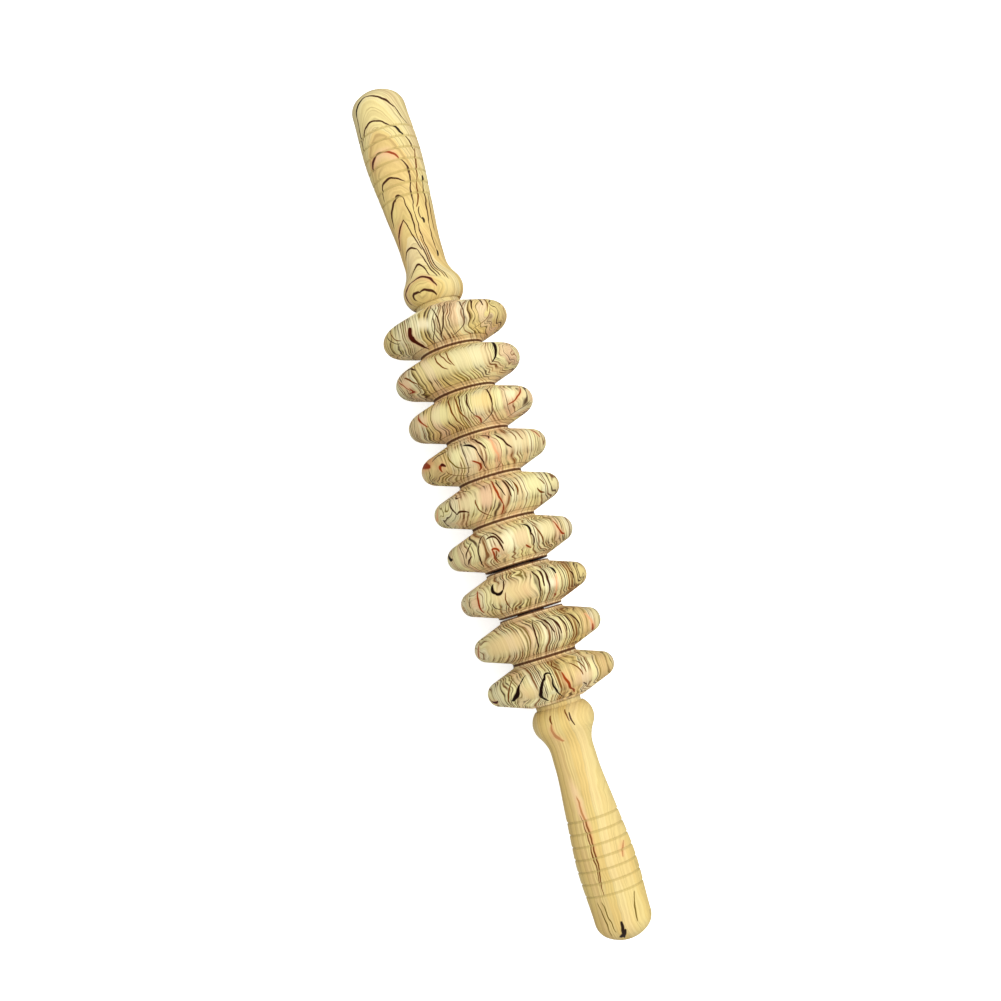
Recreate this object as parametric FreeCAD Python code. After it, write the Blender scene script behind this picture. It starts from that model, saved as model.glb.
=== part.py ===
import FreeCAD, Part
import math
import os

# A hand-held wooden roller massager: nine turned wooden rollers spin freely on a
# wooden dowel, between two turned handles that are glued on its ends.
# Origin: the middle of the dowel's axis. +X: along the dowel, towards handle_right. +Z: up.
# Every length is in millimetres. Outlines are drawn as (x along the axis, radius).

# Whole object
overall_length = 390.0
handle_length = 104.5
roller_count = 9
roller_width = 19.8
end_play = overall_length - 2 * handle_length - roller_count * roller_width
# How the rollers share their free play, from handle_left to handle_right
play_shares = [3, 1, 1, 1, 1, 1, 10, 8, 1, 1]

# Dowel
shaft_radius = 6.0
shaft_chamfer = 1.0
shaft_in_handle = 32.0
socket_depth = 34.0

# Rollers
bore_radius = shaft_radius + 0.4
bore_chamfer = 0.5
rim_radius = 28.4
rim_round = 5.4
flank_angle = math.radians(20.0)
collar_radius = 14.2
collar_fillet = 0.6
collar_edge = 0.3

# Handles, as distances from the outer end
dome_length = 9.5
dome_radius = 12.4
dome_corner = 8.0
belly = (33.0, 13.05)
taper = (57.0, 11.1)
waist = (78.4, 9.5)
neck = (87.0, 10.0)
bulb_centre = (96.1, 5.1)
bulb_round = 8.5
bulb_start = math.radians(125.0)
bulb_end = math.radians(42.0)
end_collar_radius = 10.0
groove_count = 7
groove_first = 21.9
groove_pitch = 5.3
groove_width = 1.2
groove_depth = 0.45


def at(x, r):
    """The point of an outline at x along the axis and radius r."""
    return FreeCAD.Vector(x, 0, r)


def polar(centre, radius, angle):
    """The point of an outline's arc, by the angle from +X."""
    return at(centre[0] + radius * math.cos(angle), centre[1] + radius * math.sin(angle))


def line(a, b):
    return Part.LineSegment(a, b).toShape()


def arc(a, middle, b):
    return Part.Arc(a, middle, b).toShape()


def turned(edges):
    """The solid that a closed outline sweeps around the X axis."""
    face = Part.Face(Part.Wire(edges))
    return face.revolve(FreeCAD.Vector(0, 0, 0), FreeCAD.Vector(1, 0, 0), 360)


def flank_reach():
    """Distance of a roller's straight flank from its centre, along the flank's normal."""
    return (rim_radius - rim_round) * math.sin(flank_angle) + rim_round


def half_roller(has_collar):
    """The +X half of a roller's outline, from the rim's crest down to its bore."""
    rim_centre = (0, rim_radius - rim_round)
    face_x = roller_width / 2
    crest = polar(rim_centre, rim_round, math.pi / 2)
    shoulder = polar(rim_centre, rim_round, math.pi / 4 + flank_angle / 2)
    rim_foot = polar(rim_centre, rim_round, flank_angle)
    edges = [arc(crest, shoulder, rim_foot)]
    if has_collar:
        hollow_r = collar_radius + collar_fillet
        hollow_x = (flank_reach() + collar_fillet - hollow_r * math.sin(flank_angle)) / math.cos(flank_angle)
        hollow = (hollow_x, hollow_r)
        flank_foot = polar(hollow, collar_fillet, math.pi + flank_angle)
        hollow_middle = polar(hollow, collar_fillet, 1.25 * math.pi + flank_angle / 2)
        collar_start = at(hollow_x, collar_radius)
        collar_end = at(face_x - collar_edge, collar_radius)
        edge_centre = (face_x - collar_edge, collar_radius - collar_edge)
        face_top = at(face_x, collar_radius - collar_edge)
        edges.append(line(rim_foot, flank_foot))
        edges.append(arc(flank_foot, hollow_middle, collar_start))
        edges.append(line(collar_start, collar_end))
        edges.append(arc(collar_end, polar(edge_centre, collar_edge, math.pi / 4), face_top))
    else:
        face_top_r = (flank_reach() - face_x * math.cos(flank_angle)) / math.sin(flank_angle)
        face_top = at(face_x, face_top_r)
        edges.append(line(rim_foot, face_top))
    face_foot = at(face_x, bore_radius + bore_chamfer)
    bore_mouth = at(face_x - bore_chamfer, bore_radius)
    edges.append(line(face_top, face_foot))
    edges.append(line(face_foot, bore_mouth))
    edges.append(line(bore_mouth, at(0, bore_radius)))
    return edges


def make_roller(left_collar, right_collar):
    """A roller about the origin; an end roller has no collar on its outer side."""
    right = half_roller(right_collar)
    left = [edge.mirror(at(0, 0), FreeCAD.Vector(1, 0, 0)) for edge in half_roller(left_collar)]
    return turned(right + left[::-1])


def dome_edges():
    """The rounded end: a crown centred on the axis, and a corner tangent to it and to the grip."""
    corner = (dome_length, dome_radius - dome_corner)
    reach = dome_length ** 2 + corner[1] ** 2 - dome_corner ** 2
    crown_round = reach / (2 * (dome_length - dome_corner))
    crown = (crown_round, 0)
    meeting = math.atan2(corner[1], corner[0] - crown_round)
    meeting_point = polar(crown, crown_round, meeting)
    crown_middle = polar(crown, crown_round, (math.pi + meeting) / 2)
    corner_middle = polar(corner, dome_corner, (meeting + math.pi / 2) / 2)
    return [
        arc(at(0, 0), crown_middle, meeting_point),
        arc(meeting_point, corner_middle, at(dome_length, dome_radius)),
    ]


def grip_edges():
    """The swelling grip, from the dome to the bulb, with its turned V grooves."""
    grip = Part.BSplineCurve()
    grip.interpolate(
        Points=[
            at(dome_length, dome_radius),
            at(*belly),
            at(*taper),
            at(*waist),
            at(*neck),
            polar(bulb_centre, bulb_round, bulb_start),
        ],
        InitialTangent=at(1, 0),
        FinalTangent=at(math.sin(bulb_start), -math.cos(bulb_start)),
    )
    edges = []
    last = grip.FirstParameter
    for number in range(groove_count):
        x = groove_first + number * groove_pitch
        surface_radius = grip.value(grip.parameter(at(x, belly[1]))).z
        bottom = at(x, surface_radius - groove_depth)
        start = grip.parameter(at(x - groove_width / 2, surface_radius))
        end = grip.parameter(at(x + groove_width / 2, surface_radius))
        edges.append(grip.toShape(last, start))
        edges.append(line(grip.value(start), bottom))
        edges.append(line(bottom, grip.value(end)))
        last = end
    edges.append(grip.toShape(last, grip.LastParameter))
    return edges


def make_handle():
    """A handle from x = 0 at its outer end to its inner face, with a blind socket."""
    bulb_foot = polar(bulb_centre, bulb_round, bulb_start)
    bulb_top = polar(bulb_centre, bulb_round, math.pi / 2)
    bulb_rim = polar(bulb_centre, bulb_round, bulb_end)
    crease = at(bulb_rim.x, end_collar_radius)
    face_top = at(handle_length, end_collar_radius)
    socket_mouth = at(handle_length, shaft_radius)
    socket_end = at(handle_length - socket_depth, shaft_radius)
    socket_centre = at(handle_length - socket_depth, 0)
    bulb_and_socket = [
        arc(bulb_foot, bulb_top, bulb_rim),
        line(bulb_rim, crease),
        line(crease, face_top),
        line(face_top, socket_mouth),
        line(socket_mouth, socket_end),
        line(socket_end, socket_centre),
        line(socket_centre, at(0, 0)),
    ]
    return turned(dome_edges() + grip_edges() + bulb_and_socket)


def make_shaft():
    """The dowel, chamfered at both ends."""
    half = overall_length / 2 - handle_length + shaft_in_handle
    return turned([
        line(at(-half, 0), at(-half, shaft_radius - shaft_chamfer)),
        line(at(-half, shaft_radius - shaft_chamfer), at(-half + shaft_chamfer, shaft_radius)),
        line(at(-half + shaft_chamfer, shaft_radius), at(half - shaft_chamfer, shaft_radius)),
        line(at(half - shaft_chamfer, shaft_radius), at(half, shaft_radius - shaft_chamfer)),
        line(at(half, shaft_radius - shaft_chamfer), at(half, 0)),
        line(at(half, 0), at(-half, 0)),
    ])


def roller_centres():
    """Where each roller's mid-plane stands along the dowel."""
    share = end_play / sum(play_shares)
    centres = []
    x = handle_length - overall_length / 2
    for number in range(roller_count):
        x += play_shares[number] * share
        centres.append(x + roller_width / 2)
        x += roller_width
    return centres


def make_parts():
    parts = {"shaft": make_shaft()}
    handle = make_handle()
    handle_left = handle.copy()
    handle_left.translate(at(-overall_length / 2, 0))
    handle_right = handle_left.copy()
    handle_right.rotate(FreeCAD.Vector(0, 0, 0), FreeCAD.Vector(0, 0, 1), 180)
    parts["handle_left"] = handle_left
    parts["handle_right"] = handle_right
    for number, x in enumerate(roller_centres(), start=1):
        roller = make_roller(left_collar=number > 1, right_collar=number < roller_count)
        roller.translate(at(x, 0))
        parts["roller_%d" % number] = roller
    return parts


os.makedirs("parts", exist_ok=True)
for name, shape in make_parts().items():
    shape.exportStep("parts/%s.step" % name)
    box = shape.BoundBox
    print("%-13s volume %9.1f mm3  x %7.2f..%7.2f  r %5.2f  valid %s"
          % (name, shape.Volume, box.XMin, box.XMax, box.ZMax, shape.isValid()))
print("roller centres", ["%.2f" % x for x in roller_centres()])
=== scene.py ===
import math
import bpy
from mathutils import Matrix, Vector


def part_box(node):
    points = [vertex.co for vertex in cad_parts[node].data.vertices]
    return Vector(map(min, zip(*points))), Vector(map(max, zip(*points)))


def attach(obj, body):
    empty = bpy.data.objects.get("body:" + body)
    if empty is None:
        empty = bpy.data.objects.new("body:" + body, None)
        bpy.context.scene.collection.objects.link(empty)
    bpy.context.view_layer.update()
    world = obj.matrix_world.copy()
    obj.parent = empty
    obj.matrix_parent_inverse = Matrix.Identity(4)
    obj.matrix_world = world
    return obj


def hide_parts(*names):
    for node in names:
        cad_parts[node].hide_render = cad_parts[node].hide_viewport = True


# A wooden roller massager: nine rollers on a dowel between two handles, all turned from marbled
# laminated wood and lacquered. Outlines are in millimetres, meshes are in metres.

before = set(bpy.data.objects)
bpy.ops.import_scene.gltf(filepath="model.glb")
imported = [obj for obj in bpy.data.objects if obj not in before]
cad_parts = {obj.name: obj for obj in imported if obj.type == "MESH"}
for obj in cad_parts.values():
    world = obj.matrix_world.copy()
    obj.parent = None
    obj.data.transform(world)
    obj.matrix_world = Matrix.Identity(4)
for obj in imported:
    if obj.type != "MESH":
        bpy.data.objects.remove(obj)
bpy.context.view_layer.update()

MM = 0.001
ROLLERS = ["roller_%d" % number for number in range(1, 10)]

# Sizes shared with the design, in millimetres
RIM_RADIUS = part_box("roller_2")[1].z / MM
ROLLER_WIDTH = (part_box("roller_2")[1].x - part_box("roller_2")[0].x) / MM
HANDLE_LENGTH = (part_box("handle_left")[1].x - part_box("handle_left")[0].x) / MM
SHAFT_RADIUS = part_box("shaft")[1].z / MM
BORE_CLEARANCE = 0.4
BORE_RADIUS = SHAFT_RADIUS + BORE_CLEARANCE
BORE_CHAMFER = 0.5
RIM_ROUND = 5.4
FLANK_ANGLE = 20.0
COLLAR_RADIUS = 14.2
COLLAR_FILLET = 0.6
COLLAR_EDGE = 0.3
DOME_LENGTH = 9.5
DOME_RADIUS = 12.4
DOME_CORNER = 8.0
GRIP_KNOTS = [(33.0, 13.05), (57.0, 11.1), (78.4, 9.5), (87.0, 10.0)]
BULB_CENTRE = (96.1, 5.1)
BULB_ROUND = 8.5
BULB_START = 125.0
BULB_END = 42.0
END_COLLAR_RADIUS = 10.0
SOCKET_DEPTH = 34.0
GROOVE_COUNT = 7
GROOVE_FIRST = 21.9
GROOVE_PITCH = 5.3
GROOVE_WIDTH = 1.5
GROOVE_DEPTH = 0.45
EDGE_ROUND = 0.25


# ---------------------------------------------------------------- outlines

def polar(centre, radius, degrees):
    angle = math.radians(degrees)
    return (centre[0] + radius * math.cos(angle), centre[1] + radius * math.sin(angle))


def arc(centre, radius, start, end, steps):
    """Points of an arc, both ends included, by angles in degrees from +X."""
    return [polar(centre, radius, start + (end - start) * i / steps) for i in range(steps + 1)]


def line(a, b, steps):
    return [(a[0] + (b[0] - a[0]) * i / steps, a[1] + (b[1] - a[1]) * i / steps) for i in range(steps + 1)]


def joined(*runs):
    """One outline from several runs, without the points that they share."""
    points = [runs[0][0]]
    for run in runs:
        for point in run:
            if math.dist(point, points[-1]) > 1e-6:
                points.append(point)
    return points


def half_roller(has_collar):
    """The +X half of a roller's outline, from its crest to the middle of its bore."""
    rim_centre = (0, RIM_RADIUS - RIM_ROUND)
    face_x = ROLLER_WIDTH / 2
    slope = math.radians(FLANK_ANGLE)
    reach = rim_centre[1] * math.sin(slope) + RIM_ROUND
    rim = arc(rim_centre, RIM_ROUND, 90, FLANK_ANGLE, 26)
    if has_collar:
        hollow_r = COLLAR_RADIUS + COLLAR_FILLET
        hollow_x = (reach + COLLAR_FILLET - hollow_r * math.sin(slope)) / math.cos(slope)
        hollow = arc((hollow_x, hollow_r), COLLAR_FILLET, 180 + FLANK_ANGLE, 270, 6)
        edge_centre = (face_x - COLLAR_EDGE, COLLAR_RADIUS - COLLAR_EDGE)
        edge = arc(edge_centre, COLLAR_EDGE, 90, 0, 4)
        outside = joined(line(rim[-1], hollow[0], 14), hollow, line(hollow[-1], edge[0], 3), edge)
    else:
        face_top_r = (reach - (face_x - EDGE_ROUND) * math.cos(slope)) / math.sin(slope)
        edge = arc((face_x - EDGE_ROUND, face_top_r - 2 * EDGE_ROUND), EDGE_ROUND, FLANK_ANGLE, 0, 3)
        outside = joined(line(rim[-1], edge[0], 18), edge)
    face_foot = (face_x, BORE_RADIUS + BORE_CHAMFER)
    bore_mouth = (face_x - BORE_CHAMFER, BORE_RADIUS)
    face = line(outside[-1], face_foot, 6)
    return joined(rim, outside, face, line(bore_mouth, (0, BORE_RADIUS), 6))


def roller_outline(left_collar, right_collar):
    """A closed outline: the right half from crest to bore, then the left half back to the crest."""
    right = half_roller(right_collar)
    left = [(-x, r) for x, r in half_roller(left_collar)]
    return right + left[-2:0:-1]


def grip_radius(x):
    """The grip's radius at x: a smooth curve through its knots, less its grooves."""
    bulb_foot = polar(BULB_CENTRE, BULB_ROUND, BULB_START)
    foot_slope = -1 / math.tan(math.radians(BULB_START))
    knots = [(DOME_LENGTH, DOME_RADIUS)] + GRIP_KNOTS + [bulb_foot]
    slopes = [0.0]
    for (x0, r0), (x1, r1), (x2, r2) in zip(knots, knots[1:], knots[2:]):
        before = (r1 - r0) / (x1 - x0)
        after = (r2 - r1) / (x2 - x1)
        slopes.append((before * (x2 - x1) + after * (x1 - x0)) / (x2 - x0))
    slopes.append(foot_slope)
    span = max(i for i in range(len(knots) - 1) if i == 0 or x >= knots[i][0])
    (x0, r0), (x1, r1) = knots[span], knots[span + 1]
    width = x1 - x0
    t = (x - x0) / width
    radius = (2 * t ** 3 - 3 * t ** 2 + 1) * r0 + (t ** 3 - 2 * t ** 2 + t) * width * slopes[span]
    radius += (-2 * t ** 3 + 3 * t ** 2) * r1 + (t ** 3 - t ** 2) * width * slopes[span + 1]
    groove = round((x - GROOVE_FIRST) / GROOVE_PITCH)
    if 0 <= groove < GROOVE_COUNT:
        off = abs(x - GROOVE_FIRST - groove * GROOVE_PITCH) / (GROOVE_WIDTH / 2)
        if off < 1:
            radius -= GROOVE_DEPTH * (0.5 + 0.5 * math.cos(math.pi * off))
    return radius


def grip_outline():
    """The grip from the dome to the bulb, with closer points across each groove."""
    end = polar(BULB_CENTRE, BULB_ROUND, BULB_START)[0]
    places = set(DOME_LENGTH + (end - DOME_LENGTH) * i / 70 for i in range(71))
    for number in range(GROOVE_COUNT):
        middle = GROOVE_FIRST + number * GROOVE_PITCH
        reach = GROOVE_WIDTH * 0.7
        places = set(x for x in places if abs(x - middle) > reach)
        places.update(middle + reach * i / 7 for i in range(-7, 8))
    return [(x, grip_radius(x)) for x in sorted(places)]


def travel_along(outline, x):
    """Distance along an outline from its start to where it first reaches x."""
    travel = 0.0
    for a, b in zip(outline, outline[1:]):
        if b[0] >= x:
            return travel + math.dist(a, b) * (x - a[0]) / (b[0] - a[0])
        travel += math.dist(a, b)
    return travel


def handle_outline():
    """From the tip of the dome, along the grip and the bulb, to the end of the blind socket."""
    corner = (DOME_LENGTH, DOME_RADIUS - DOME_CORNER)
    crown_round = (DOME_LENGTH ** 2 + corner[1] ** 2 - DOME_CORNER ** 2) / (2 * (DOME_LENGTH - DOME_CORNER))
    meeting = math.degrees(math.atan2(corner[1], corner[0] - crown_round))
    crown = arc((crown_round, 0), crown_round, 180, meeting, 14)
    shoulder = arc(corner, DOME_CORNER, meeting, 90, 18)
    bulb = arc(BULB_CENTRE, BULB_ROUND, BULB_START, BULB_END, 30)
    crease = (bulb[-1][0], END_COLLAR_RADIUS)
    collar_end = (HANDLE_LENGTH - EDGE_ROUND, END_COLLAR_RADIUS)
    edge = arc((HANDLE_LENGTH - EDGE_ROUND, END_COLLAR_RADIUS - EDGE_ROUND), EDGE_ROUND, 90, 0, 3)
    socket_mouth = (HANDLE_LENGTH, SHAFT_RADIUS)
    socket_end = (HANDLE_LENGTH - SOCKET_DEPTH, SHAFT_RADIUS)
    outside = joined([(0.0, 0.0)], crown[1:], shoulder, grip_outline(), bulb)
    collar = joined(line(bulb[-1], crease, 2), line(crease, collar_end, 3), edge)
    face = line(edge[-1], socket_mouth, 4)
    socket = joined(line(socket_mouth, socket_end, 10), line(socket_end, (socket_end[0], 0.0), 3))
    return joined(outside, collar, face, socket)


# ---------------------------------------------------------------- turning

def unwrapped(values):
    """A face's corner values, with no jump of a whole turn between its angles."""
    angles = [value[0] for value in values]
    if max(angles) - min(angles) <= 180:
        return values
    return [(angle + 360 if angle < 0 else angle, travel, 0.0) for angle, travel, _ in values]


def turned(name, outline, steps, place, flip=False):
    """Sweeps an outline about X. place is its origin's x; flip turns it end for end.

    The corner attribute "turned" holds each corner's angle from +Z towards +Y in degrees, and its
    distance in millimetres along the outline from the point where the outline starts."""
    on_axis = outline[0][1] == 0.0
    sign = -1 if flip else 1
    rings = outline[1:-1] if on_axis else outline
    ring_count = len(rings)
    travel = [0.0]
    for a, b in zip(outline, outline[1:]):
        travel.append(travel[-1] + math.dist(a, b))
    if not on_axis:
        whole = travel[-1] + math.dist(outline[-1], outline[0])
        travel = [t if t < whole / 2 else t - whole for t in travel]
    marks = travel[1:-1] if on_axis else travel

    verts = []
    for x, r in rings:
        for step in range(steps):
            angle = 2 * math.pi * step / steps
            verts.append((place + sign * x * MM, r * MM * math.sin(angle), r * MM * math.cos(angle)))
    faces = []
    corners = []

    def corner(ring, step):
        degrees = 360 * step / steps
        return ((degrees + 180) % 360 - 180, marks[ring], 0.0)

    for ring in range(ring_count - 1 if on_axis else ring_count):
        after = (ring + 1) % ring_count
        for step in range(steps):
            beside = (step + 1) % steps
            quad = [(ring, step), (after, step), (after, beside), (ring, beside)]
            if flip:
                quad.reverse()
            faces.append([r * steps + s for r, s in quad])
            corners.extend(unwrapped([corner(r, s) for r, s in quad]))
    if on_axis:
        for pole, ring in ((0, 0), (-1, ring_count - 1)):
            centre = len(verts)
            verts.append((place + sign * outline[pole][0] * MM, 0.0, 0.0))
            for step in range(steps):
                pair = [(ring, step), (ring, (step + 1) % steps)]
                if (pole == 0) == flip:
                    pair.reverse()
                faces.append([centre] + [r * steps + s for r, s in pair])
                values = unwrapped([corner(r, s) for r, s in pair])
                middle = (values[0][0] + values[1][0]) / 2
                corners.extend([(middle, travel[pole], 0.0)] + values)

    mesh = bpy.data.meshes.new(name)
    mesh.from_pydata(verts, [], faces)
    layer = mesh.attributes.new("turned", "FLOAT_VECTOR", "CORNER")
    layer.data.foreach_set("vector", [value for entry in corners for value in entry])
    mesh.polygons.foreach_set("use_smooth", [True] * len(mesh.polygons))
    mesh.set_sharp_from_angle(angle=math.radians(35))
    mesh.validate()
    piece = bpy.data.objects.new(name, mesh)
    bpy.context.scene.collection.objects.link(piece)
    return piece


# ---------------------------------------------------------------- node helper

class Nodes:
    """Short calls that add nodes to a tree. All but add and the feeds return the new output socket."""

    def __init__(self, tree):
        self.tree = tree

    def add(self, kind, **settings):
        node = self.tree.nodes.new(kind)
        for key, value in settings.items():
            setattr(node, key, value)
        return node

    def feed(self, socket, value):
        if isinstance(value, bpy.types.NodeSocket):
            self.tree.links.new(value, socket)
        elif value is not None:
            socket.default_value = value

    def feed_all(self, node, **values):
        """Feeds sockets by name, with a space in the socket's name for each underscore."""
        for name, value in values.items():
            self.feed(node.inputs[name.replace("_", " ")], value)

    def math(self, operation, a, b=None, c=None, clamp=False):
        node = self.add("ShaderNodeMath", operation=operation, use_clamp=clamp)
        for socket, value in zip(node.inputs, (a, b, c)):
            self.feed(socket, value)
        return node.outputs[0]

    def times(self, a, b):
        return self.math("MULTIPLY", a, b)

    def vector(self, operation, a, b=None, scale=None):
        node = self.add("ShaderNodeVectorMath", operation=operation)
        self.feed(node.inputs[0], a)
        self.feed(node.inputs[1], b)
        if scale is not None:
            self.feed(node.inputs["Scale"], scale)
        return node.outputs["Value" if operation == "DOT_PRODUCT" else "Vector"]

    def scaled(self, value, low, high, out_low, out_high, kind="LINEAR"):
        """From out_low to out_high as value goes from low to high."""
        node = self.add("ShaderNodeMapRange", interpolation_type=kind)
        self.feed_all(node, Value=value, From_Min=low, From_Max=high, To_Min=out_low, To_Max=out_high)
        return node.outputs["Result"]

    def step(self, value, low, high, out_low=0.0, out_high=1.0):
        """The same, with a smooth start and end."""
        return self.scaled(value, low, high, out_low, out_high, "SMOOTHSTEP")

    def mix(self, factor, a, b):
        node = self.add("ShaderNodeMix", data_type="RGBA")
        self.feed_all(node, Factor=factor, A=a, B=b)
        return [out for out in node.outputs if out.type == "RGBA"][0]

    def noise(self, vector, scale, detail=2.0, roughness=0.5, offset=None, name="Fac"):
        node = self.add("ShaderNodeTexNoise", noise_dimensions="4D" if offset is not None else "3D")
        self.feed_all(node, Vector=vector, Scale=scale, Detail=detail, Roughness=roughness)
        if offset is not None:
            self.feed(node.inputs["W"], offset)
        return node.outputs[name]

    def noise_along(self, w, scale, detail):
        node = self.add("ShaderNodeTexNoise", noise_dimensions="1D")
        self.feed_all(node, W=w, Scale=scale, Detail=detail)
        return node.outputs["Fac"]

    def cells(self, w, name):
        """Random cells along a line: Distance from w to the nearest cell's point, or its Color."""
        node = self.add("ShaderNodeTexVoronoi", voronoi_dimensions="1D", feature="F1")
        self.feed_all(node, W=w, Scale=1.0)
        return node.outputs[name]

    def ramp(self, factor, stops, interpolation="LINEAR"):
        node = self.add("ShaderNodeValToRGB")
        node.color_ramp.interpolation = interpolation
        while len(node.color_ramp.elements) < len(stops):
            node.color_ramp.elements.new(1.0)
        for element, (position, colour) in zip(node.color_ramp.elements, stops):
            element.position = position
            element.color = colour
        self.feed(node.inputs["Fac"], factor)
        return node.outputs["Color"]

    def channels(self, colour):
        node = self.add("ShaderNodeSeparateColor")
        self.feed(node.inputs[0], colour)
        return node.outputs[:3]

    def split(self, vector):
        node = self.add("ShaderNodeSeparateXYZ")
        self.feed(node.inputs[0], vector)
        return node.outputs[:3]


def node_group(name, inputs, outputs):
    """A new shader group: its tree, its helper, its input sockets and its output node."""
    tree = bpy.data.node_groups.new(name, "ShaderNodeTree")
    for label, kind, default in inputs:
        socket = tree.interface.new_socket(label, in_out="INPUT", socket_type="NodeSocket" + kind)
        if default is not None:
            socket.default_value = default
    for label, kind in outputs:
        tree.interface.new_socket(label, in_out="OUTPUT", socket_type="NodeSocket" + kind)
    n = Nodes(tree)
    return tree, n, n.add("NodeGroupInput").outputs, n.add("NodeGroupOutput")


def srgb(red, green, blue):
    """A linear colour from 0-255 sRGB values."""
    def linear(value):
        value /= 255
        return value / 12.92 if value <= 0.04045 else ((value + 0.055) / 1.055) ** 2.4
    return (linear(red), linear(green), linear(blue), 1.0)


# ---------------------------------------------------------------- marbled wood

CREAM = srgb(224, 217, 176)
PALE = srgb(223, 213, 156)
HONEY = srgb(207, 180, 106)
BEIGE = srgb(214, 186, 142)
OLIVE = srgb(206, 200, 146)
PEACH = srgb(221, 186, 148)
MILK = srgb(218, 208, 180)
TAN = srgb(200, 168, 114)
PINK = srgb(200, 166, 130)
BLACK = srgb(20, 2, 0)
DARK = srgb(56, 20, 0)
BROWN = srgb(102, 54, 8)
MOSS = srgb(104, 84, 26)
GROOVE = srgb(172, 154, 94)
RUST = srgb(136, 52, 14)
MAROON = srgb(66, 14, 4)
ORANGE = srgb(210, 152, 108)
AMBER = srgb(172, 120, 74)
RING = srgb(230, 202, 156)
# Painted shade for the gaps between the rollers and beside the handles
GAP_SHADE = srgb(76, 30, 0)
CALM = srgb(201, 188, 140)
STAIN = srgb(206, 128, 86)
# A vein of one of these colours is a soft patch
PATCHES = (CALM, MILK, TAN, PINK, CREAM, HONEY, OLIVE, PEACH, STAIN)
# Veins of these colours have a warm stain beside them
WARM = (RUST, MAROON, ORANGE, AMBER)

# Millimetres from one to the next, across the layers
TINT_PITCH = 3.7
FINE_PITCH = 1.2
STRONG_PITCH = 7.5
# How far noise moves the fine lines, which bunches them
BUNCHING = 2.0
# How far a full Calm takes the lines away
CALM_STRENGTH = 0.92


def waved_depth(n, given, field, place, along):
    """How deep each point lies in the stack of waved layers, in millimetres."""
    fold = n.step(field(along, 0.06, 0.0, 40.0), 0.0, 0.14, 0.3, 1.7)
    warp = n.times(field(along, 0.045, 1.0, 0.0), 2.4)
    warp = n.math("MULTIPLY_ADD", field(place, 0.12, 1.0, 31.7), fold, warp)
    # The waves grow towards the sides, where the layers lie flat and would show as plain rings
    aside = n.step(n.math("ABSOLUTE", n.split(place)[1]), 14.0, 28.0, 1.0, 1.9)
    warp = n.times(n.times(warp, aside), given["Wave"])
    warp = n.math("MULTIPLY_ADD", field(place, 0.3, 1.0, 77.1), 0.6, warp)
    depth = n.math("ADD", n.vector("DOT_PRODUCT", place, given["Layer direction"]), warp)
    return n.math("MULTIPLY_ADD", given["Seed"], 13.3, depth)


def layer_slant(n, given, coords):
    """How steeply the surface cuts the layers. A layer met at a shallow angle would smear its line,
    so lines narrow there."""
    facing = n.vector("DOT_PRODUCT", coords.outputs["Normal"], given["Layer direction"])
    slant = n.math("SQRT", n.math("SUBTRACT", 1.0, n.times(facing, facing), clamp=True))
    return n.math("MAXIMUM", slant, 0.35)


def layer_tints(n, given, field, depth, along, grain):
    """The layers' colours, with growth lines and pores inside them."""
    tone = n.channels(n.cells(n.math("DIVIDE", depth, TINT_PITCH), "Color"))[0]
    stops = [(0.0, CREAM), (0.26, PALE), (0.5, HONEY), (0.66, OLIVE), (0.78, BEIGE), (0.92, PEACH)]
    wide = n.step(field(along, 0.07, 1.0, 18.0), -0.09, 0.09)
    tint = n.mix(0.45, n.ramp(tone, stops, "CONSTANT"), n.mix(wide, PALE, BEIGE))
    tint = n.mix(given["Honey"], tint, HONEY)
    growth = n.step(n.noise_along(depth, 1.6, 3.0), 0.35, 0.68)
    strength = n.times(n.math("SUBTRACT", 1.0, n.times(given["Honey"], 0.8)), 0.22)
    pores = n.times(n.math("SUBTRACT", grain, 0.5), 0.25)
    shade = n.math("MULTIPLY_ADD", growth, strength, pores)
    return n.mix(n.math("ADD", shade, 0.04, clamp=True), tint, BROWN)


def fine_lines(n, given, field, depth, along, slant, calm):
    """How strong the fine lines are, and their colour. They bunch, and fade in and out along their run."""
    bunched = n.math("MULTIPLY_ADD", n.noise_along(depth, 0.22, 0.0), BUNCHING, depth)
    turn = n.math("DIVIDE", bunched, FINE_PITCH)
    kind = n.channels(n.cells(turn, "Color"))
    width = n.times(n.math("MULTIPLY_ADD", kind[1], 0.24, 0.02), slant)
    off = n.times(n.cells(turn, "Distance"), FINE_PITCH)
    ink = n.step(off, width, n.math("MULTIPLY_ADD", slant, 0.36, width), 1.0, 0.0)
    fade = field(along, 0.12, 2.0, 5.3)
    shown = n.step(n.math("MULTIPLY_ADD", kind[0], 0.4, fade), -0.02, 0.28, 0.15, 1.0)
    ink = n.times(n.times(ink, shown), n.times(given["Lines"], calm))
    return ink, n.ramp(kind[2], [(0.0, BROWN), (0.35, MOSS), (0.55, DARK)], "CONSTANT")


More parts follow.
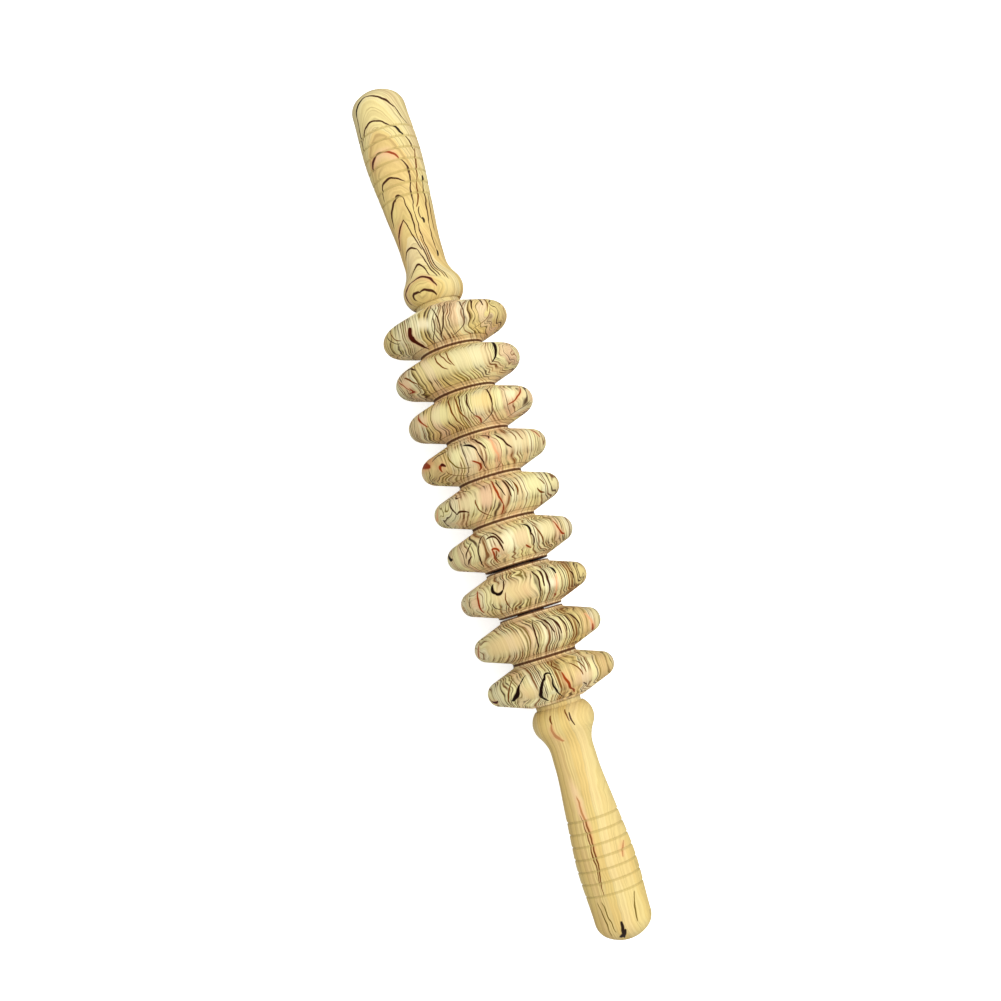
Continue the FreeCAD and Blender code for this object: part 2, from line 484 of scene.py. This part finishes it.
def strong_veins(n, given, field, depth, along, slant, calm, tint):
    """The tint under strong broken veins, some with a warm stain beside them, and where the veins run."""
    turn = n.math("DIVIDE", depth, STRONG_PITCH)
    kind = n.channels(n.cells(turn, "Color"))
    off = n.times(n.cells(turn, "Distance"), STRONG_PITCH)
    width = n.times(n.math("MULTIPLY_ADD", kind[1], 0.25, 0.1), slant)
    width = n.times(width, n.step(field(along, 0.19, 1.0, 9.9), -0.15, 0.2, 0.4, 2.2))
    ink = n.step(off, width, n.math("MULTIPLY_ADD", slant, 0.22, width), 1.0, 0.0)
    broken = n.step(n.math("MULTIPLY_ADD", kind[0], 0.3, field(along, 0.09, 1.0, 55.5)), 0.02, 0.14)
    broken = n.times(broken, n.times(given["Veins"], calm))
    broken = n.times(broken, n.math("SUBTRACT", 1.0, given["Front"]))
    stain = n.step(off, 0.0, n.times(slant, 2.0), 1.0, 0.0)
    stain = n.times(n.times(stain, n.step(kind[2], 0.7, 0.72)), broken)
    tint = n.mix(n.times(stain, 0.6), tint, ORANGE)
    stops = [(0.0, DARK), (0.4, BLACK), (0.55, BROWN), (0.72, RUST), (0.9, MAROON)]
    return n.mix(n.times(ink, broken), tint, n.ramp(kind[2], stops, "CONSTANT")), ink


def marbled_wood_group():
    """Dyed veneers pressed into waves, then cut through: tinted layers between fine dark glue lines."""
    inputs = [("Layer direction", "Vector", (0, 1, 0))]
    inputs += [(label, "Float", 1.0) for label in ("Wave", "Veins", "Lines")]
    inputs += [(label, "Float", 0.0) for label in ("Seed", "Honey", "Calm", "Front")]
    tree, n, given, result = node_group("marbled_wood", inputs, [("Color", "Color"), ("Height", "Float")])

    def field(vector, scale, detail, shift):
        """Noise about zero, different for each seed."""
        offset = n.math("ADD", given["Seed"], shift)
        return n.math("SUBTRACT", n.noise(vector, scale, detail, offset=offset), 0.5)

    coords = n.add("ShaderNodeTexCoord")
    place = n.vector("SCALE", coords.outputs["Object"], scale=1 / MM)
    along = n.vector("MULTIPLY", place, (0.6, 1.0, 1.0))
    grain = n.noise(n.vector("MULTIPLY", place, (0.09, 2.2, 2.2)), 1.0, 3.0, 0.6, given["Seed"])
    calm = n.math("MULTIPLY_ADD", given["Calm"], -CALM_STRENGTH, 1.0)
    depth = waved_depth(n, given, field, place, along)
    slant = layer_slant(n, given, coords)
    tint = layer_tints(n, given, field, depth, along, grain)
    fine, fine_colour = fine_lines(n, given, field, depth, along, slant, calm)
    tint = n.mix(n.times(fine, 0.92), tint, fine_colour)
    tint, strong = strong_veins(n, given, field, depth, along, slant, calm, tint)
    n.feed(result.inputs["Color"], tint)
    n.feed(result.inputs["Height"], n.math("SUBTRACT", grain, n.times(n.math("ADD", strong, fine), 0.5)))
    return tree


def vein_group():
    """One vein on a turned surface: an arc between two points that swells in its middle."""
    inputs = [(label, "Vector", None) for label in ("Point", "Middle", "Forward", "Side")]
    inputs += [(label, "Float", None) for label in ("Bend", "Reach", "Width")]
    tree, n, given, result = node_group("vein", inputs, [("Ink", "Float"), ("Near", "Float")])
    offset = n.vector("SUBTRACT", given["Point"], given["Middle"])
    run = n.math("DIVIDE", n.vector("DOT_PRODUCT", offset, given["Forward"]), given["Reach"])
    run_squared = n.times(run, run)
    left = n.math("SUBTRACT", 1.0, run_squared)
    across = n.vector("DOT_PRODUCT", offset, given["Side"])
    off = n.math("SUBTRACT", across, n.times(given["Bend"], left))
    slope = n.math("DIVIDE", n.times(n.times(given["Bend"], 2.0), run), given["Reach"])
    steep = n.math("SQRT", n.math("MULTIPLY_ADD", slope, slope, 1.0))
    off = n.math("DIVIDE", n.math("ABSOLUTE", off), steep)
    swell = n.math("MULTIPLY_ADD", n.math("MAXIMUM", left, 0.0), 0.6, 0.4)
    width = n.times(given["Width"], swell)
    ink = n.step(off, n.times(width, 0.55), n.math("ADD", width, 0.14), 1.0, 0.0)
    near = n.step(off, n.times(width, 0.2), n.math("ADD", width, 1.9), 1.0, 0.0)
    n.feed(result.inputs["Ink"], n.times(ink, n.step(run_squared, 0.9, 1.15, 1.0, 0.0)))
    n.feed(result.inputs["Near"], n.times(near, n.step(run_squared, 0.2, 1.4, 1.0, 0.0)))
    return tree


def placed_veins(n, veins, point, degree):
    """Adds the listed veins: (colour, ink, nearness) of each, and how calm the wood about them is."""
    drawn = []
    calm = None
    for colour, start, end, bend, width in veins:
        a = Vector((start[0] * degree, start[1], 0.0))
        b = Vector((end[0] * degree, end[1], 0.0))
        forward = (b - a).normalized()
        side = Vector((forward.y, -forward.x, 0.0))
        node = n.add("ShaderNodeGroup")
        node.node_tree = vein_tree
        n.feed_all(node, Point=point, Middle=(a + b) / 2, Forward=forward, Side=side, Bend=bend,
                   Reach=(b - a).length / 2, Width=width)
        near = node.outputs["Near"]
        drawn.append((colour, node.outputs["Ink"], near))
        quiet = near if colour in PATCHES else n.times(near, 0.7 if width > 0.6 else 0.5)
        calm = quiet if calm is None else n.math("MAXIMUM", calm, quiet)
    return drawn, calm


def veined(n, colour, drawn):
    """The colour under soft patches, warm stains beside the warm veins, and the veins."""
    for ink_colour, ink, near in drawn:
        if ink_colour in PATCHES:
            colour = n.mix(n.times(near, 0.55), colour, ink_colour)
        elif ink_colour in WARM:
            colour = n.mix(n.times(near, 0.45), colour, ORANGE)
    for ink_colour, ink, near in drawn:
        if ink_colour not in PATCHES:
            colour = n.mix(ink, colour, ink_colour)
    return colour


def lit_flank_colour(n, colour, side, inward):
    """Paler down the flanks as painted light, with a plain ring and a thin line beside the collar."""
    # Painted light: the colour grows up to 1.3 times brighter between 4.5 and 9 mm down the outline from
    # the crest
    colour = n.vector("SCALE", colour, scale=n.step(side, 4.5, 9.0, 1.0, 1.3))
    colour = n.mix(n.step(inward, 3.6, 4.2, 0.45, 0.0), colour, RING)
    off = n.math("ABSOLUTE", n.math("SUBTRACT", inward, 4.1))
    return n.mix(n.step(off, 0.1, 0.5, 0.5, 0.0), colour, BROWN)


def groove_colour(n, colour, along_place, grooves):
    """A darker line in each turned groove, from the first and the last groove's places."""
    first, last = grooves
    pitch = (last - first) / (GROOVE_COUNT - 1)
    turn = n.math("DIVIDE", n.math("SUBTRACT", along_place, first), pitch)
    nearest = n.math("MINIMUM", n.math("MAXIMUM", n.math("ROUND", turn), 0.0), GROOVE_COUNT - 1.0)
    off = n.times(n.math("ABSOLUTE", n.math("SUBTRACT", turn, nearest)), pitch)
    return n.mix(n.step(off, 0.25, 0.8, 0.5, 0.0), colour, GROOVE)


def marbled_wood(name, seed, tilt, turn_radius, veins, gloss, edges=None, grooves=None, **amounts):
    """Lacquered marbled wood.

    tilt is the way its layers are stacked: degrees from +Z towards +Y, then towards +X. Each vein is
    (colour, start, end, bend, width): its ends as (degrees round from +Z, millimetres along the turned
    outline), how far its middle bows towards +Y, or back along the outline if it runs round, and its half
    width. turn_radius is the radius at which the veins' degrees become millimetres. edges are the places,
    along the outline at a roller's two sides, of the painted shade in the gaps beside it, and grooves those
    of a handle's first and last groove."""
    material = bpy.data.materials.new(name)
    material.use_nodes = True
    n = Nodes(material.node_tree)
    shader = material.node_tree.nodes["Principled BSDF"]
    coords = n.add("ShaderNodeTexCoord")
    turned_place = n.add("ShaderNodeAttribute", attribute_name="turned").outputs["Vector"]
    round_place, along_place, _ = n.split(turned_place)
    degree = math.radians(turn_radius)
    point = n.vector("MULTIPLY", turned_place, (degree, 1.0, 0.0))
    # The veins waver a little
    wander = n.noise(coords.outputs["Object"], 170.0, 1.0, name="Color")
    wander = n.vector("SUBTRACT", wander, (0.5, 0.5, 0.5))
    point = n.vector("ADD", point, n.vector("MULTIPLY", wander, (2.2, 2.2, 0.0)))
    drawn, calm = placed_veins(n, veins, point, degree)

    wood = n.add("ShaderNodeGroup")
    wood.node_tree = marbled_tree
    around, lean = (math.radians(value) for value in tilt)
    direction = (math.sin(lean), math.sin(around) * math.cos(lean), math.cos(around) * math.cos(lean))
    # Only the back shows the group's own strong veins
    front = n.step(n.math("ABSOLUTE", round_place), 65.0, 100.0, 0.9, 0.0)
    n.feed_all(wood, Layer_direction=direction, Seed=seed, Front=front, Calm=calm, **amounts)

    colour = wood.outputs["Color"]
    if edges is not None:
        side = n.math("ABSOLUTE", along_place)
        inward = n.math("SUBTRACT", n.step(along_place, -0.1, 0.1, *edges), side)
        colour = veined(n, lit_flank_colour(n, colour, side, inward), drawn)
        # Painted shade, nine tenths dark, from just before each flank's foot over the collar, the end face
        # and the bore, standing for the shadow in the gaps between the parts
        colour = n.mix(n.step(inward, 0.35, 0.9, 0.9, 0.0), colour, GAP_SHADE)
    else:
        colour = groove_colour(n, veined(n, colour, drawn), along_place, grooves)

    uneven = n.noise(coords.outputs["Object"], 160.0)
    bump = n.add("ShaderNodeBump")
    n.feed_all(bump, Strength=0.22, Distance=0.0002, Height=wood.outputs["Height"])
    roughness = n.scaled(uneven, 0.3, 0.7, 0.44, 0.56)
    n.feed_all(shader, Base_Color=colour, Roughness=roughness, Normal=bump.outputs["Normal"],
               Specular_IOR_Level=gloss, Specular_Tint=(1.0, 0.85, 0.62, 1.0))
    return material


def dowel_wood():
    """Dowel wood painted dark as shade for the gaps between the rollers, with grain along it."""
    material = bpy.data.materials.new("dowel_wood")
    material.use_nodes = True
    n = Nodes(material.node_tree)
    shader = material.node_tree.nodes["Principled BSDF"]
    coords = n.add("ShaderNodeTexCoord")
    stretched = n.vector("MULTIPLY", coords.outputs["Object"], (60.0, 1400.0, 1400.0))
    grain = n.noise(stretched, 1.0, 4.0, 0.6)
    # Painted shade: dark browns, so that the dowel seen in the gaps between the rollers looks shaded
    colour = n.ramp(grain, [(0.3, srgb(122, 80, 46)), (0.7, srgb(80, 48, 26))])
    n.feed_all(shader, Base_Color=colour, Roughness=n.scaled(grain, 0.3, 0.7, 0.5, 0.65))
    return material


# ---------------------------------------------------------------- the pieces

marbled_tree = marbled_wood_group()
vein_tree = vein_group()


def finished(piece, node, body, material):
    piece.data.materials.append(material)
    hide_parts(node)
    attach(piece, body)


# Each roller's seed, how its layers are stacked, how strongly they wave, and its boldest veins
ROLLER_WOOD = [
    (1.0, (84, 5), 5.0, [
        (MILK, (-23, 0), (-12, 2), 0.0, 2.0),
        (MAROON, (-30, 0), (-36, 10), -1.0, 1.8),
        (MAROON, (-32, 4), (-38, 17), -0.7, 1.4),
        (DARK, (-64, -3), (-50, 4), -1.0, 0.3),
        (BROWN, (-56, -3), (-46, 3), -0.9, 0.3),
        (DARK, (-8, -9), (-8, 16), 2.0, 0.35),
        (DARK, (-8, 0), (-24, 16), 1.6, 0.3),
        (DARK, (6, -8), (-6, 12), 0.4, 0.35),
        (DARK, (24, -11), (20, 4), -0.6, 0.35),
        (DARK, (20, 4), (8, 13), 1.4, 0.35),
        (DARK, (38, -11), (28, 0), -0.3, 0.5),
        (DARK, (44, -6), (40, -1), -0.2, 0.5),
        (BROWN, (52, -6), (44, 2), -0.6, 0.4),
        (BROWN, (48, 1), (34, 11), 1.4, 0.3),
    ]),
    (2.0, (76, -4), 5.0, [
        (CALM, (-36, -1), (34, 0), 0.0, 8.0),
        (PEACH, (-62, 1), (-50, 3), 0.0, 2.5),
        (DARK, (-60, -3), (-38, -2), 2.3, 0.5),
        (BROWN, (-54, -1), (-42, 4), 0.6, 0.6),
        (BROWN, (-42, 4), (-46, 12), -0.9, 0.35),
        (RUST, (-68, -2), (-56, 6), 1.2, 0.4),
        (RUST, (-64, 6), (-54, 4), -1.9, 0.7),
        (BROWN, (-18, -8), (-8, 3), -1.4, 0.35),
        (BROWN, (-14, -12), (-4, 1), -1.3, 0.35),
        (BROWN, (-6, -9), (-2, 2), -0.5, 0.3),
        (BLACK, (46, -11), (35, 5), 1.0, 0.9),
    ]),
    (3.0, (78, 6), 5.0, [
        (HONEY, (2, -1), (24, 0), 0.0, 5.5),
        (OLIVE, (-36, 0), (-18, 0), 0.0, 4.5),
        (PEACH, (-52, -1), (-40, 0), 0.0, 2.0),
        (CREAM, (36, -1), (48, 0), 0.0, 2.5),
        (RUST, (-56, -6), (-44, 3), -0.5, 0.6),
        (BROWN, (-18, -13), (-12, 14), -0.4, 0.4),
        (BROWN, (-12, -12), (-4, 11), -0.2, 0.4),
        (DARK, (-4, -12), (-6, 2), -0.4, 0.35),
        (DARK, (4, -8), (4, 6), -2.0, 0.35),
        (RUST, (4, 6), (10, 14), 0.9, 0.6),
        (DARK, (20, -12), (20, 4), 0.4, 0.4),
        (DARK, (20, 4), (10, 14), 2.4, 0.4),
        (RUST, (60, -4), (38, 4), 1.4, 0.5),
        (DARK, (74, 3), (52, 14), -0.7, 0.4),
        (MILK, (74, 6), (58, 12), 0.0, 2.0),
    ]),
    (4.0, (97, -5), 5.0, [
        (OLIVE, (-29, -1), (-20, 1), 0.0, 4.0),
        (STAIN, (-78, -3), (-48, -3), 0.0, 3.0),
        (CALM, (20, 0), (46, 0), 0.0, 5.0),
        (RUST, (-75, -3), (-55, -1), 0.5, 2.0),
        (RUST, (-44, 4), (-40, 1), 0.8, 0.9),
        (MAROON, (-41, 1), (-36, 2), 0.3, 0.9),
        (BROWN, (-38, 4), (-26, 13), -3.4, 0.4),
        (MOSS, (-32, -4), (-16, 8), -2.3, 0.45),
        (DARK, (-52, -3), (-34, -5), 0.6, 0.4),
        (BLACK, (-15, -5), (-4, 0), 1.1, 0.7),
        (DARK, (-5, -1), (-2, 13), 0.7, 0.45),
        (RUST, (-10, 4), (-10, 13), 2.0, 0.8),
        (DARK, (-7, -12), (4, 0), -0.5, 0.65),
        (MAROON, (2, -13), (10, -4), 1.2, 0.9),
        (ORANGE, (10, -4), (16, 10), -0.3, 0.4),
        (BROWN, (16, 10), (12, 15), 1.3, 0.4),
        (DARK, (18, -8), (27, 3), -1.6, 0.55),
        (BROWN, (30, -6), (32, 0), 0.5, 0.4),
        (BROWN, (38, -5), (40, 0), -0.5, 0.4),
        (RUST, (58, -4), (66, 0), -0.2, 0.6),
    ]),
    (5.0, (99, 5), 5.0, [
        (CALM, (-32, 0), (-16, 0), 0.0, 4.5),
        (PINK, (-16, 0), (-2, 0), 0.0, 5.0),
        (OLIVE, (28, 0), (48, 0), 0.0, 5.0),
        (ORANGE, (-66, -3), (-80, 2), 1.1, 0.8),
        (DARK, (-46, -5), (-41, 3), -0.1, 0.5),
        (DARK, (-41, 3), (-28, 4), 1.2, 0.55),
        (DARK, (-40, -7), (-32, -4), -1.6, 0.4),
        (DARK, (-42, -10), (-28, -7), 1.0, 0.5),
        (BROWN, (-18, 0), (-12, 14), -1.1, 0.4),
        (RUST, (0, -13), (4, 6), -0.3, 0.5),
        (RUST, (4, 6), (0, 15), 0.9, 0.5),
        (DARK, (6, -12), (8, 2), -1.2, 0.35),
        (DARK, (10, -7), (14, 3), -0.1, 0.5),
        (DARK, (13, -6), (17, 1), -0.2, 0.45),
        (BROWN, (19, -4), (20, 3), 0.4, 0.45),
        (BROWN, (40, 2), (50, 5), -0.5, 0.6),
        (BROWN, (44, -3), (48, 1), -0.1, 0.4),
    ]),
    (6.0, (98, -6), 5.0, [
        (CREAM, (-8, 0), (4, 1), 0.0, 5.5),
        (PINK, (4, 1), (18, 1), 0.0, 5.5),
        (CALM, (26, 0), (46, 0), 0.0, 5.0),
        (BLACK, (-80, -5), (-64, 0), -1.5, 1.2),
        (DARK, (-36, -4), (-44, 2), -0.1, 0.4),
        (DARK, (-38, 2), (-50, 6), -0.3, 0.4),
        (DARK, (-27, -3), (-46, 13), 1.8, 0.45),
        (DARK, (-26, -2), (-19, -9), 1.3, 0.45),
        (DARK, (-20, -9), (-6, 1), 1.3, 0.45),
        (DARK, (-20, -3), (-10, -2), 1.5, 0.6),
        (DARK, (-11, -3), (-8, 4), 0.6, 0.45),
        (RUST, (-24, 14), (-16, 2), -0.1, 0.5),
        (RUST, (-17, 2), (-12, 4), 1.2, 0.7),
        (BROWN, (-14, 3), (-20, 14), -0.6, 0.4),
        (RUST, (14, 4), (20, 8), -0.1, 0.7),
        (BLACK, (15, -7), (20, 1), 0.8, 0.65),
        (DARK, (20, 0), (22, 6), 0.5, 0.4),
        (BROWN, (24, -4), (32, 6), 0.2, 0.4),
        (RUST, (46, -3), (60, 4), -1.4, 0.6),
    ]),
    (7.0, (100, 4), 5.0, [
        (TAN, (-30, 0), (8, 2), 0.0, 7.0),
        (PEACH, (-56, 0), (-44, 2), 0.0, 2.5),
        (MILK, (20, 1), (32, 2), 0.0, 1.0),
        (DARK, (-56, -3), (-58, 2), -0.5, 0.4),
        (RUST, (-47, -5), (-51, 7), 2.0, 0.6),
        (BLACK, (-28, -6), (-24, -1), -1.1, 0.9),
        (BLACK, (-25, -1), (-18, -1), -0.6, 0.75),
        (DARK, (-18, -1), (-17, -8), -0.6, 0.45),
        (DARK, (-32, 3), (-30, 12), -1.0, 0.4),
        (BROWN, (-16, 0), (-22, 12), -0.3, 0.35),
        (DARK, (12, -9), (14, 4), 0.5, 0.55),
        (DARK, (18, -8), (18, 2), 0.4, 0.55),
        (DARK, (24, -9), (23, 5), -0.4, 0.55),
        (BLACK, (31, -8), (31, -2), 0.5, 0.8),
        (RUST, (32, 9), (36, 14), 1.0, 0.6),
        (ORANGE, (31, -2), (34, 9), -1.4, 0.3),
        (DARK, (48, -1), (50, 3), 0.6, 0.55),
    ]),
    (8.0, (102, -3), 3.5, [
        (TAN, (-56, 0), (-12, 0), 0.0, 6.0),
        (DARK, (-76, -6), (-80, -1), -0.6, 0.4),
        (RUST, (-66, -4), (-76, 3), 1.0, 0.6),
        (DARK, (-2, -10), (-6, 15), 0.8, 0.4),
        (DARK, (2, -10), (9, -1), 1.0, 0.5),
        (DARK, (8, -10), (14, 1), 0.5, 0.5),
        (DARK, (14, -10), (20, 2), 0.5, 0.5),
        (DARK, (21, -10), (25, 2), 0.5, 0.5),
        (DARK, (28, -9), (32, 3), 0.4, 0.5),
        (DARK, (34, -8), (40, 3), 0.4, 0.5),
        (ORANGE, (52, -3), (66, 5), -1.2, 0.8),
        (RUST, (58, 2), (66, 6), -0.4, 0.6),
    ]),
    (9.0, (99, -5), 5.0, [
        (TAN, (-28, 4), (-14, 2), 0.0, 4.5),
        (CREAM, (-3, 5), (4, 8), 0.0, 2.0),
        (PINK, (18, 2), (40, 4), 0.0, 5.0),
        (MAROON, (-78, 0), (-60, 2), -1.5, 0.9),
        (BROWN, (-38, -7), (-48, 4), 1.5, 0.4),
        (BLACK, (-43, 4), (-28, -2), -0.8, 1.2),
        (BLACK, (-28, -2), (-23, -7), -0.1, 0.5),
        (BLACK, (1, -3), (-6, -1), -1.6, 0.65),
        (BLACK, (-6, -2), (-13, 15), -2.0, 1.2),
        (BLACK, (0, -3), (9, 15), -1.2, 0.5),
        (RUST, (10, -2), (26, 14), -1.2, 0.8),
        (BROWN, (6, -13), (10, -3), -1.3, 0.5),
        (DARK, (30, 5), (40, 11), 0.0, 0.4),
        (BROWN, (18, -7), (28, 1), 0.8, 0.4),
        (BROWN, (26, -8), (32, 0), 0.5, 0.4),
    ]),
]
# From the crest along the outline to just past a flank's foot, with a collar and without, near where the
# painted shade in the gaps is full
FLANK_END = 18.8
PLAIN_FLANK_END = 21.2
ROLLER_STEPS = 180
ROLLER_GLOSS = 0.05
for node, (seed, tilt, wave, veins) in zip(ROLLERS, ROLLER_WOOD):
    low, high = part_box(node)
    collars = (node != ROLLERS[0], node != ROLLERS[-1])
    roller = turned(node + "_turned", roller_outline(*collars), ROLLER_STEPS, (low.x + high.x) / 2)
    edges = [FLANK_END if has_collar else PLAIN_FLANK_END for has_collar in collars]
    material = marbled_wood(node + "_wood", seed, tilt, RIM_RADIUS, veins, ROLLER_GLOSS, edges=edges,
                            Wave=wave)
    finished(roller, node, node, material)

# The handles' boldest veins, by their distance from the tip of the dome
LEFT_VEINS = [
    (PEACH, (-45, 44), (10, 46), 3.0, 2.5),
    (DARK, (-64, 36), (-57, 20), 0.0, 0.45),
    (BLACK, (-57, 20), (-22, 13), 1.6, 0.8),
    (DARK, (-22, 13), (35, 21), 1.4, 0.6),
    (DARK, (35, 21), (54, 29), -0.4, 0.35),
    (DARK, (-56, 31), (14, 30), 5.0, 0.5),
    (BLACK, (14, 30), (35, 35), 0.3, 0.6),
    (DARK, (38, 36), (50, 43), 0.5, 0.4),
    (MAROON, (-52, 47), (-20, 41), 1.9, 0.8),
    (RUST, (-20, 41), (12, 46), 0.8, 0.6),
    (DARK, (16, 47), (24, 54), 0.7, 0.4),
    (DARK, (-54, 62), (8, 57), 5.7, 0.55),
    (DARK, (-58, 75), (-14, 63), 1.8, 0.6),
    (DARK, (-26, 65), (-6, 64), 2.0, 0.7),
    (MAROON, (-68, 85), (-20, 74), 0.9, 0.6),
    (DARK, (-20, 74), (2, 89), -0.3, 0.4),
    (DARK, (-54, 91), (-10, 88), 2.7, 0.5),
    (DARK, (-10, 88), (14, 104), 0.6, 0.4),
    (DARK, (-48, 100), (2, 102), 6.0, 0.55),
    (MAROON, (-64, 112), (-44, 103), 2.4, 0.7),
    (MAROON, (-44, 103), (8, 108), 3.4, 0.7),
    (DARK, (-42, 112), (-26, 109), 2.6, 0.8),
    (DARK, (-26, 109), (4, 112), 1.7, 0.6),
    (DARK, (-6, 64), (0, 84), 0.7, 0.4),
    (DARK, (0, 84), (20, 104), 0.1, 0.4),
    (DARK, (22, 51), (10, 71), 0.8, 0.4),
    (DARK, (10, 71), (36, 106), -1.4, 0.4),
    (BROWN, (8, 83), (30, 105), -0.8, 0.35),
    (BROWN, (54, 42), (36, 58), 0.0, 0.5),
    (BROWN, (36, 58), (20, 70), 0.7, 0.5),
    (BLACK, (28, 75), (30, 78), 0.2, 0.9),
    (DARK, (26, 70), (26, 76), -0.9, 0.4),
    (BLACK, (56, 55), (56, 58), 0.0, 1.0),
    (DARK, (54, 58), (44, 79), -0.5, 0.5),
    (DARK, (44, 79), (44, 90), -0.4, 0.4),
    (BLACK, (44, 90), (44, 93), 0.4, 0.9),
    (DARK, (62, 64), (60, 81), -0.6, 0.4),
]
RIGHT_VEINS = [
    (PEACH, (-28, 82), (-16, 58), 0.0, 1.8),
    (AMBER, (-24, 107), (-13, 98), 1.9, 0.9),
    (BROWN, (-22, 111), (-22, 107), 0.4, 0.6),
    (DARK, (14, 110), (18, 104), 0.4, 0.45),
    (BROWN, (8, 112), (10, 106), 0.2, 0.3),
    (AMBER, (-24, 74), (-16, 47), -0.6, 0.7),
    (BROWN, (-26, 66), (-24, 35), -0.7, 0.3),
    (BROWN, (-18, 63), (-24, 30), -0.9, 0.35),
    (MOSS, (-42, 27), (-40, 12), -0.7, 0.3),
    (MOSS, (-32, 27), (-24, 14), 0.1, 0.3),
    (BLACK, (-24, 10), (-2, 14), 0.3, 1.5),
    (BLACK, (-6, 18), (-14, 9), 0.0, 1.1),
    (AMBER, (48, 50), (34, 44), 0.5, 0.5),
    (MOSS, (36, 28), (26, 16), 0.5, 0.4),
]
HANDLE_STEPS = 144
HANDLE_GLOSS = 0.22
HANDLE_WAVE = 1.5
GRIP_RADIUS = 12.5
handle = handle_outline()
grooves = [travel_along(handle, GROOVE_FIRST + i * GROOVE_PITCH) for i in (0, GROOVE_COUNT - 1)]
left = turned("handle_left_turned", handle, HANDLE_STEPS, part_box("handle_left")[0].x)
material = marbled_wood("handle_left_wood", 11.0, (-17, 16), GRIP_RADIUS, LEFT_VEINS, HANDLE_GLOSS,
                        grooves=grooves, Wave=HANDLE_WAVE, Honey=0.4, Lines=0.35)
finished(left, "handle_left", "stick", material)
right = turned("handle_right_turned", handle, HANDLE_STEPS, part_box("handle_right")[1].x, flip=True)
material = marbled_wood("handle_right_wood", 12.0, (70, 2), GRIP_RADIUS, RIGHT_VEINS, HANDLE_GLOSS,
                        grooves=grooves, Wave=HANDLE_WAVE, Honey=0.65, Lines=0.22, Veins=0.0)
finished(right, "handle_right", "stick", material)

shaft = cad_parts["shaft"]
shaft.data.materials.clear()
shaft.data.materials.append(dowel_wood())


# ---------------------------------------------------------------- the scene

# The floor glows a little, like a light table, except in a strip of shadow right under the rollers.
# From the strip's middle, in metres: where the glow starts and where it is full
FLOOR_GLOW = 0.5
STRIP_HALF_WIDTH = (0.0125, 0.0155)
STRIP_HALF_LENGTH = (0.088, 0.092)


def stage_floor():
    size = 4.0
    level = -RIM_RADIUS * MM
    mesh = bpy.data.meshes.new("floor")
    corners = [(-size, -size, level), (size, -size, level), (size, size, level), (-size, size, level)]
    mesh.from_pydata(corners, [], [(0, 1, 2, 3)])
    floor = bpy.data.objects.new("floor", mesh)
    bpy.context.scene.collection.objects.link(floor)
    material = bpy.data.materials.new("floor")
    material.use_nodes = True
    shader = material.node_tree.nodes["Principled BSDF"]
    shader.inputs["Base Color"].default_value = (0.95, 0.95, 0.95, 1.0)
    shader.inputs["Roughness"].default_value = 0.9
    shader.inputs["Emission Color"].default_value = (1.0, 1.0, 1.0, 1.0)
    n = Nodes(material.node_tree)
    place = n.split(n.add("ShaderNodeTexCoord").outputs["Object"])
    beside = n.step(n.math("ABSOLUTE", place[1]), *STRIP_HALF_WIDTH)
    beyond = n.step(n.math("ABSOLUTE", place[0]), *STRIP_HALF_LENGTH)
    glow = n.times(n.math("MAXIMUM", beside, beyond), FLOOR_GLOW)
    n.feed(shader.inputs["Emission Strength"], glow)
    mesh.materials.append(material)
    floor.visible_diffuse = False
    floor.visible_glossy = False


def area_light(name, place, size, watts):
    """A soft rectangular lamp that faces the origin."""
    light = bpy.data.lights.new(name, "AREA")
    light.shape = "RECTANGLE"
    light.size, light.size_y = size
    light.energy = watts
    lamp = bpy.data.objects.new(name, light)
    lamp.location = place
    lamp.rotation_mode = "QUATERNION"
    lamp.rotation_quaternion = (-Vector(place)).to_track_quat("-Z", "Y")
    bpy.context.scene.collection.objects.link(lamp)


def daylight(above, below):
    """White light all round, weaker from under the horizon."""
    world = bpy.data.worlds.new("daylight")
    world.use_nodes = True
    n = Nodes(world.node_tree)
    height = n.split(n.add("ShaderNodeTexCoord").outputs["Generated"])[2]
    background = world.node_tree.nodes["Background"]
    background.inputs["Color"].default_value = (1.0, 1.0, 1.0, 1.0)
    n.feed(background.inputs["Strength"], n.step(height, -0.35, -0.05, below, above))
    bpy.context.scene.world = world


CAMERA_PLACE = Vector((0.0605, -0.0006, 0.617))
CAMERA_TARGET = Vector((-0.0003, 0.0015, 0.0))
CAMERA_ROLL = 16.8
SENSOR_WIDTH = 36.0
LENS = 50.71


def camera():
    """Looks almost straight down, rolled so that the object leans across the picture."""
    data = bpy.data.cameras.new("camera")
    data.sensor_width = SENSOR_WIDTH
    data.lens = LENS
    eye = bpy.data.objects.new("camera", data)
    roll = math.radians(CAMERA_ROLL)
    back = (CAMERA_PLACE - CAMERA_TARGET).normalized()
    up = Vector((-math.cos(roll), math.sin(roll), 0.0))
    right = up.cross(back).normalized()
    axes = Matrix((right, back.cross(right), back)).transposed()
    eye.matrix_world = Matrix.Translation(CAMERA_PLACE) @ axes.to_4x4()
    bpy.context.scene.collection.objects.link(eye)
    bpy.context.scene.camera = eye


stage_floor()
daylight(above=0.95, below=0.4)
area_light("key", (-0.05, 0.55, 1.0), (0.5, 0.5), 9.5)
camera()
bpy.context.scene.view_settings.view_transform = "Standard"
